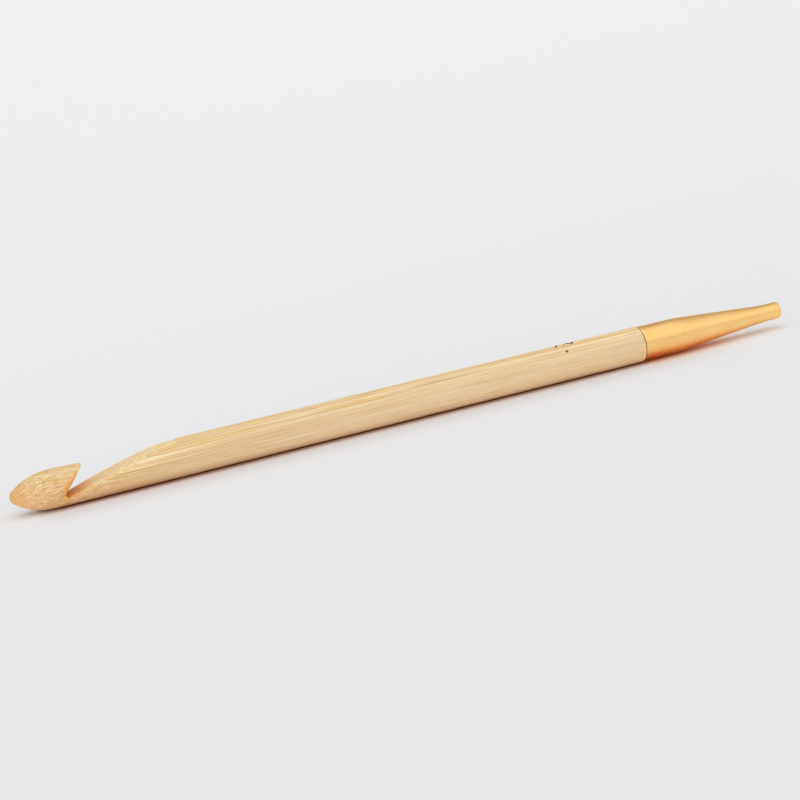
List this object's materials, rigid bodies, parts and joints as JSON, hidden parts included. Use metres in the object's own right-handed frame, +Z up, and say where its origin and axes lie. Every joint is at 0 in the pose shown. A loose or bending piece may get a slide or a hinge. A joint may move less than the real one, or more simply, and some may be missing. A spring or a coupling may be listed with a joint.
{
  "type": "interchangeable crochet hook",
  "caption": "Straight bamboo crochet hook with a bullet nose, undercut notch and sloping throat, and a tapered gold metal ferrule at its far end that takes a screw-on cable.",
  "frame": {"origin": "on the surface that the hook lies on, under the middle of its length and its shaft's axis", "axes": "+X along the shaft from the hook's tip to the ferrule's nose, +Z up, out of the notch's mouth"},
  "size_m": [0.1536, 0.007, 0.007],
  "materials": {
    "bamboo": "fine-sanded, waxed natural bamboo",
    "gold_metal": "satin gold-toned brass",
    "adhesive": "cured amber epoxy",
    "ink": "printed dark ink"
  },
  "bodies": {
    "root": {"bamboo_hook": "bamboo", "ferrule": "gold_metal", "adhesive_film": "adhesive", "size_mark": "ink"}
  },
  "joints": []
}
